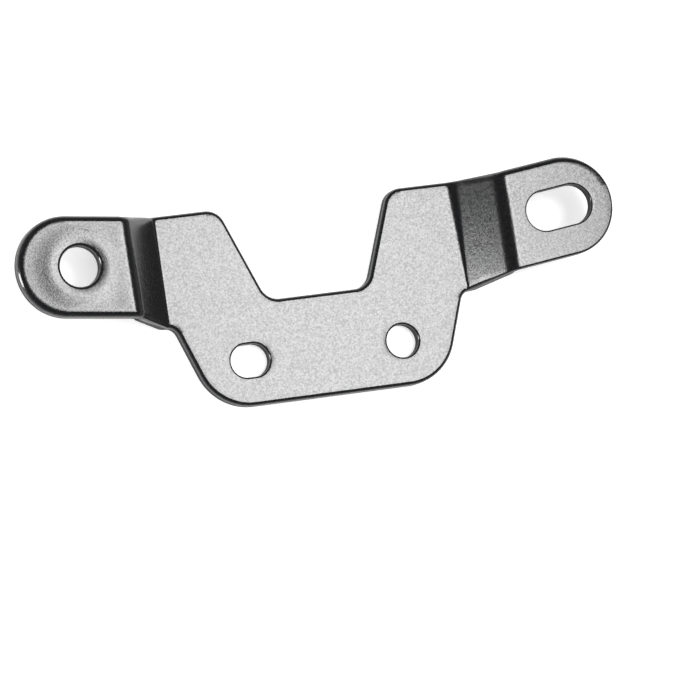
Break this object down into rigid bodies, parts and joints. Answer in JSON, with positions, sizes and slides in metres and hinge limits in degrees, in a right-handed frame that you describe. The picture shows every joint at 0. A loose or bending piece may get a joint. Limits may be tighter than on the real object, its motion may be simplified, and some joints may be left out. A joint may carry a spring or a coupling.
{
  "type": "license plate bracket",
  "caption": "Folded sheet-steel bracket: a centre plate with a flared notch and two raised, round-ended ears, drilled and slotted for bolts.",
  "frame": {"origin": "on the back face of the centre plate, midway between its two bolt holes", "axes": "+X along the bracket towards the ear with the long slot, +Y towards the mouth of the notch, +Z out of the front, the side the ears are raised to"},
  "size_m": [0.1242, 0.041, 0.0098],
  "materials": {
    "coated_steel": "satin dark charcoal coat"
  },
  "bodies": {
    "root": {"bracket": "coated_steel"}
  },
  "joints": []
}
